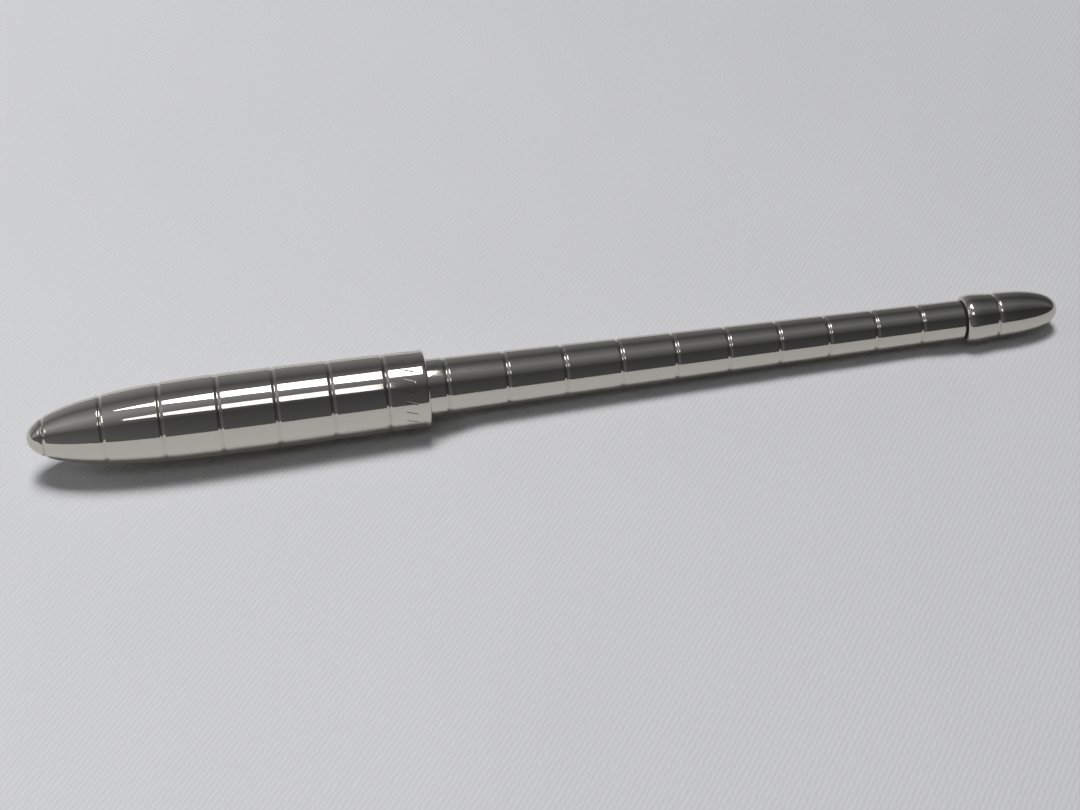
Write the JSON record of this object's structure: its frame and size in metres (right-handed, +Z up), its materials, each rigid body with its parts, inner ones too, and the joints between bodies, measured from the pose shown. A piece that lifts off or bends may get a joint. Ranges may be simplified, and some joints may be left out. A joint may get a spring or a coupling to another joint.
{
  "type": "rollerball pen",
  "caption": "Slim capped rollerball pen with a bullet-shaped ringed cap, a tapering ringed barrel, a screw-in writing section and a rounded tail knob.",
  "frame": {"origin": "on the pen's axis, at the middle of its length with the cap on", "axes": "+X along the pen's axis from the cap's nose to the tail knob, +Z up as the pen lies, +Y to the left of +X seen from above"},
  "size_m": [0.12, 0.0092, 0.0092],
  "materials": {
    "cap_plating": "mirror-polished white-metal plating over brass",
    "barrel_plating": "mirror-polished white-metal plating over brass",
    "tail_plating": "mirror-polished white-metal plating over brass",
    "section_plating": "polished plating over turned brass",
    "satin_steel": "satin, turned",
    "spring_steel": "drawn wire and strip",
    "screw_steel": "machined",
    "tip_alloy": "nickel silver, turned",
    "ball_carbide": "lapped tungsten carbide",
    "turned_brass": "turned, unplated",
    "liner_alloy": "drawn tube",
    "liner_plastic": "moulded, black",
    "socket_plastic": "moulded, black",
    "washer_fibre": "vulcanised fibre",
    "refill_plastic": "extruded, milky",
    "seal_rubber": "moulded",
    "ink": "wet black",
    "follower_gel": "clear grease"
  },
  "bodies": {
    "barrel": {"barrel_tube": "barrel_plating", "thread_bush": "turned_brass", "barrel_liner": "liner_alloy", "end_plug": "turned_brass", "refill_spring": "spring_steel", "tail_washer": "washer_fibre", "tail_collar": "tail_plating", "tail_knob": "tail_plating", "tail_screw": "screw_steel"},
    "thread_seal": {"section_o_ring": "seal_rubber"},
    "section": {"grip_section": "section_plating", "nose_cone": "section_plating", "clutch_collar": "satin_steel"},
    "refill": {"tip_socket": "socket_plastic", "writing_tip": "tip_alloy", "refill_tube": "refill_plastic", "ink_column": "ink", "ink_follower": "follower_gel", "refill_plug": "socket_plastic"},
    "ball": {"writing_ball": "ball_carbide"},
    "cap_clutch": {"cap_clutch_ring": "spring_steel"},
    "cap": {"cap_shell": "cap_plating", "cap_finial": "cap_plating", "cap_band": "cap_plating", "inner_cap": "liner_plastic", "finial_screw": "screw_steel"}
  },
  "joints": [
    {"name": "section_advance", "type": "slide", "parent": "barrel", "child": "thread_seal", "axis": [-1, 0, 0], "range_m": [0, 0.002], "deforming": ["refill_spring"]},
    {"name": "section_turn", "type": "hinge", "parent": "thread_seal", "child": "section", "pos_m": [-0.0164, 0, 0], "axis": [-1, 0, 0], "range_deg": [0, 1440]},
    {"name": "refill_float", "type": "slide", "parent": "thread_seal", "child": "refill", "axis": [1, 0, 0], "range_m": [0, 0.0006], "stiffness_N_per_m": 250, "springref_m": -0.0025, "deforming": ["refill_spring"]},
    {"name": "ball_roll", "type": "hinge", "parent": "refill", "child": "ball", "pos_m": [-0.03825, 0, 0], "axis": [0, 1, 0], "continuous": true},
    {"name": "cap_pull", "type": "slide", "parent": "section", "child": "cap_clutch", "axis": [-1, 0, 0], "range_m": [0, 0.045]},
    {"name": "cap_turn", "type": "hinge", "parent": "cap_clutch", "child": "cap", "pos_m": [-0.0179, 0, 0], "axis": [1, 0, 0], "continuous": true}
  ],
  "couplings": [
    {"joint": "section_turn", "follows": "section_advance", "rad_per_m": 12566}
  ]
}
